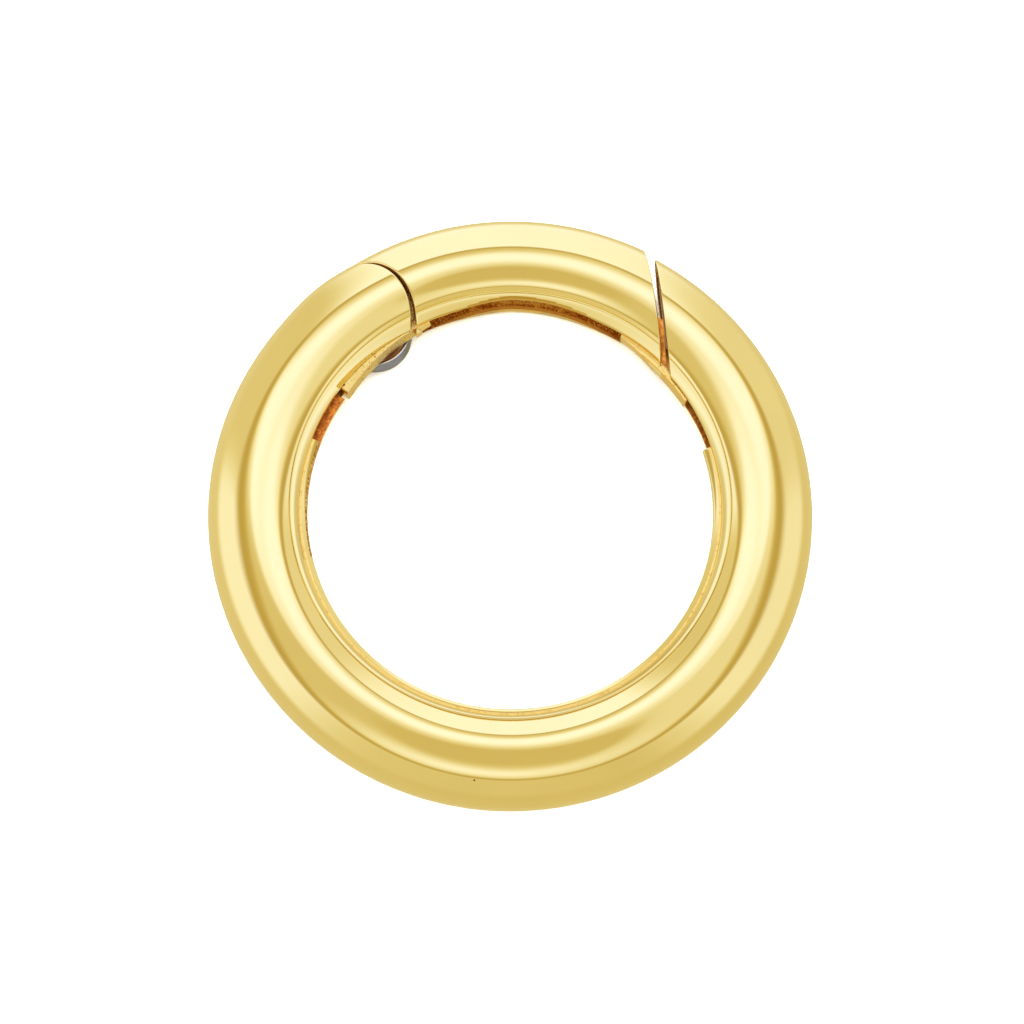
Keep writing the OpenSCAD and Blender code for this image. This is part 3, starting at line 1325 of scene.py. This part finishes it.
@dataclass
class TorsionSpring:
    """Coil of steel wire with one leg in the ring and one in the gate."""

    sizes: RingSizes
    finishes: Finishes
    coil_radius: float = 1.305
    low: float = -1.31
    high: float = -0.52
    ring_leg: tuple[float, ...] = (0.99, 0.99, 1.02)
    gate_leg: tuple[float, ...] = (1.1, 1.1, 1.1)
    ring_leg_rise: float = 0.55

    def build(self) -> None:
        """Screws the wire's section up and draws out its legs."""
        z = self.sizes
        wire = self.wire_loop()
        activate(wire)
        screw = wire.modifiers.new("coil", "SCREW")
        screw.axis = "Z"
        screw.angle = -2 * math.pi * z.turns
        screw.screw_offset = self.high - self.low
        screw.steps = screw.render_steps = 72 * z.turns
        screw.use_merge_vertices = False
        bpy.ops.object.modifier_apply(modifier=screw.name)
        apply_place(wire)
        east, north = on_circle(1.0, z.pivot_angle)
        side = np.array([north, -east])
        self.leg(wire, self.low, -side, self.ring_leg, self.ring_leg_rise)
        self.leg(wire, self.high, side, self.gate_leg, 0.0)
        close_ends(wire)
        wear(wire, self.finishes.steel)
        deliver(wire, None, "torsion_spring", 60.0)
        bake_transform(wire)

    def wire_loop(self) -> bpy.types.Object:
        """Makes the wire's section, standing at the start of the coil.

        Returns:
            The open loop.
        """
        z = self.sizes
        deselect()
        bpy.ops.mesh.primitive_circle_add(vertices=20, radius=z.wire / 2)
        loop = bpy.context.object
        loop.name = "torsion_spring_steel"
        points = read_points(loop)
        ring = np.stack([self.coil_radius + points[:, 0], np.zeros(len(points)), points[:, 1]], 1)
        write_points(loop, turned(ring, z.pivot_angle))
        loop.location = (z.pivot[0], z.pivot[1], z.middle + self.low)
        return loop

    def leg(self, wire: bpy.types.Object, height: float, way: np.ndarray, steps: Sequence[float],
            rise: float) -> None:
        """Draws one end of the wire out straight.

        Args:
            wire: The coil.
            height: Height of that end from the middle plane.
            way: Plan direction of the leg.
            steps: Lengths of its parts.
            rise: How far the leg climbs in all.
        """
        z = self.sizes
        activate(wire)
        bpy.ops.object.mode_set(mode="EDIT")
        bpy.ops.mesh.select_mode(type="EDGE")
        bm = bmesh.from_edit_mesh(wire.data)
        for item in (*bm.verts, *bm.edges, *bm.faces):
            item.select_set(False)
        for edge in bm.edges:
            at = (edge.verts[0].co + edge.verts[1].co) / 2
            if edge.is_boundary and abs(at.z - z.middle - height) < z.wire:
                edge.select_set(True)
        bmesh.update_edit_mesh(wire.data)
        total = sum(steps)
        for step in steps:
            bpy.ops.mesh.extrude_region_move(TRANSFORM_OT_translate={
                "value": (way[0] * step, way[1] * step, rise * step / total)})
        bpy.ops.object.mode_set(mode="OBJECT")


@dataclass(frozen=True)
class LightGap:
    """Dim gap between the pale walls around the ring."""

    azimuth: float
    reach: float
    depth: float


@dataclass
class Studio:
    """Camera, floor, lights and surroundings."""

    eye: tuple[float, float, float] = (-0.5538, -18.665, 73.848)
    aim: tuple[float, float, float] = (0.0, 0.0, 1.8)
    lens: float = 71.75
    shift: tuple[float, float] = (0.00156, -0.00385)
    panel_height: float = 36.8
    panel_reach: float = 1.15
    panel_rim: tuple[float, float, float] = (15.5, 30.5, 12.0)
    panel_foot: tuple[float, float] = (9.0, 28.0)
    gaps: tuple[LightGap, ...] = (LightGap(40.0, 27.0, 0.13), LightGap(137.0, 27.0, 0.27),
                                  LightGap(268.0, 62.0, 0.27))

    def build(self) -> None:
        """Makes everything that isn't part of the ring."""
        self.camera()
        self.world()
        self.floor()
        self.panel()
        self.glow()
        self.lamp()
        scene = bpy.context.scene
        scene.view_settings.view_transform = "Standard"
        scene.view_settings.look = "None"

    def camera(self) -> None:
        """Stands the camera where the photograph was taken from, with the gate at the top."""
        deselect()
        bpy.ops.object.camera_add(location=Vector(self.eye) * MM)
        camera = bpy.context.object
        back = (Vector(self.eye) - Vector(self.aim)).normalized()
        right = Vector((0, 1, 0)).cross(back).normalized()
        up = back.cross(right)
        turn = Matrix((right, up, back)).transposed()
        camera.rotation_euler = turn.to_euler()
        camera.data.lens = self.lens
        camera.data.sensor_width = 36.0
        camera.data.shift_x, camera.data.shift_y = self.shift
        camera.data.clip_start, camera.data.clip_end = 0.001, 10.0
        bpy.context.scene.camera = camera

    def world(self) -> None:
        """Surrounds the ring with soft light that dims behind and below it."""
        world = bpy.data.worlds.new("studio")
        world.use_nodes = True
        bpy.context.scene.world = world
        s = Surroundings(world.node_tree)
        x, y, z = s.parts(s.node("ShaderNodeTexCoord", output="Generated"))
        level_way = how_far(x, y).most(0.001)
        east, north = x / level_way, y / level_way
        side = 0.9 + north.rise(0.8, 1.0) * 0.12 - east * 0.04
        for gap in self.gaps:
            toward = on_circle(1.0, gap.azimuth)
            facing = east * float(toward[0]) + north * float(toward[1])
            side = side - facing.rise(math.cos(math.radians(gap.reach)),
                                        math.cos(math.radians(gap.reach * 0.45))) * gap.depth
        below = 0.65 + y * 0.06 - x * 0.02
        edge = z + north.rise(0.3, 0.95) * 0.32
        level = below + (side - below) * edge.rise(-0.3, 0.05)
        s.finish(s.node("ShaderNodeBackground", {}, {"Color": warm_light(s, level), "Strength": 1.0}))

    def card(self, name: str, size: float, height: float, steps: int) -> bpy.types.Object:
        """Adds a level card that only reflections see.

        Args:
            name: Name of the card.
            size: Length of its side in millimetres.
            height: Its height in millimetres.
            steps: Squares along each side.

        Returns:
            The card.
        """
        deselect()
        bpy.ops.mesh.primitive_grid_add(x_subdivisions=steps, y_subdivisions=steps, size=size * MM,
                                        location=(0, 0, height * MM))
        card = bpy.context.object
        card.name = name
        apply_place(card)
        for ray in ("camera", "diffuse", "shadow", "transmission"):
            setattr(card, "visible_" + ray, False)
        return card

    def panel(self) -> None:
        """Hangs a tent-shaped light panel over the ring, with an opening for the camera."""
        card = self.card("light_panel", 2.0 / MM, 0.0, 120)
        points = read_points(card)
        share = np.maximum(abs(points[:, 0]), abs(points[:, 1])) * self.panel_reach
        azimuth = np.arctan2(points[:, 1], points[:, 0])
        rise = np.sin(azimuth) ** 2
        beside, beyond, nearer = self.panel_rim
        rim = beside + rise * (beyond - nearer * np.sin(azimuth))
        foot = self.panel_foot[0] + self.panel_foot[1] * rise
        height = self.panel_height - (self.panel_height - foot) * share ** 2 + self.aim[2]
        out = rim * share
        write_points(card, np.stack([out * np.cos(azimuth), out * np.sin(azimuth), height], 1) * MM)
        material, s = new_material("light_panel")
        across, along, _ = s.parts(s.node("ShaderNodeTexCoord", output="UV"))
        a, b = across * 2.0 - 1.0, along * 2.0 - 1.0
        far = abs(a).most(abs(b)) * self.panel_reach
        scale = far / how_far(a, b).most(0.001)
        u, v = a * scale, b * scale
        base = 0.62 + u.rise(-0.1, 0.5) * 0.15
        upper = v.rise(-0.05, 0.36) * (1.0 - v.rise(0.5, 0.86)) * (1.0 - abs(u).rise(0.55, 0.95))
        lower = s.near(u, v, (-0.12, -0.66), (0.8, 0.34))
        hole = s.near(u, v, (0.0, -0.26), (0.46, 0.44)).rise(0.1, 0.5)
        level = base + (0.56 - base) * hole
        level = level + (1.05 - level) * upper
        level = level + (0.98 - level) * lower
        level = level + (0.42 - level) * far.rise(0.86, 0.97)
        s.shine(level, far.rise(0.985, 1.05))
        card.data.materials.append(material)

    def glow(self) -> None:
        """Lays a bright spot under the ring's hole for the inner side to reflect."""
        card = self.card("glow_card", 24.0, -0.4, 1)
        material, s = new_material("glow_card")
        px, py, _ = s.parts(s.place())
        x, y = px / MM, py / MM
        far = how_far(x, y)
        level = 0.97 - far.rise(4.7, 5.6) * 0.36
        dim_spots = (((3.2, -3.2), (3.0, 3.0), 0.3), ((0.0, 5.0), (4.0, 4.0), 0.35),
                     ((0.0, -0.8), (2.6, 3.2), 0.6))
        for at, reach, depth in dim_spots:
            level = level - s.near(x, y, at, reach) * depth
        s.shine(level, far.rise(8.5, 11.0))
        card.data.materials.append(material)

    def floor(self) -> None:
        """Lays a plain pale floor under the ring."""
        deselect()
        bpy.ops.mesh.primitive_plane_add(size=3.0)
        floor = bpy.context.object
        floor.name = "floor"
        floor.visible_glossy = False
        material, s = new_material("floor")
        s.finish(s.node("ShaderNodeBsdfDiffuse", {}, {"Color": (0.93, 0.93, 0.93, 1)}))
        floor.data.materials.append(material)

    def lamp(self) -> None:
        """Lights the floor softly from above."""
        deselect()
        bpy.ops.object.light_add(type="AREA", location=(0, 0, 0.6))
        lamp = bpy.context.object
        lamp.data.shape = "DISK"
        lamp.data.size = 0.7
        lamp.data.energy = 11.0
        lamp.visible_glossy = False
        lamp.visible_camera = False


def main() -> None:
    """Builds the pieces in order, then the studio."""
    logging.basicConfig(level=logging.INFO, format="%(message)s")
    sizes = RingSizes()
    finishes = Finishes(sizes)
    for maker in (RingBody, Gate, HingePin, TorsionSpring):
        maker(sizes, finishes).build()
    Studio().build()


if __name__ == "__main__":
    main()
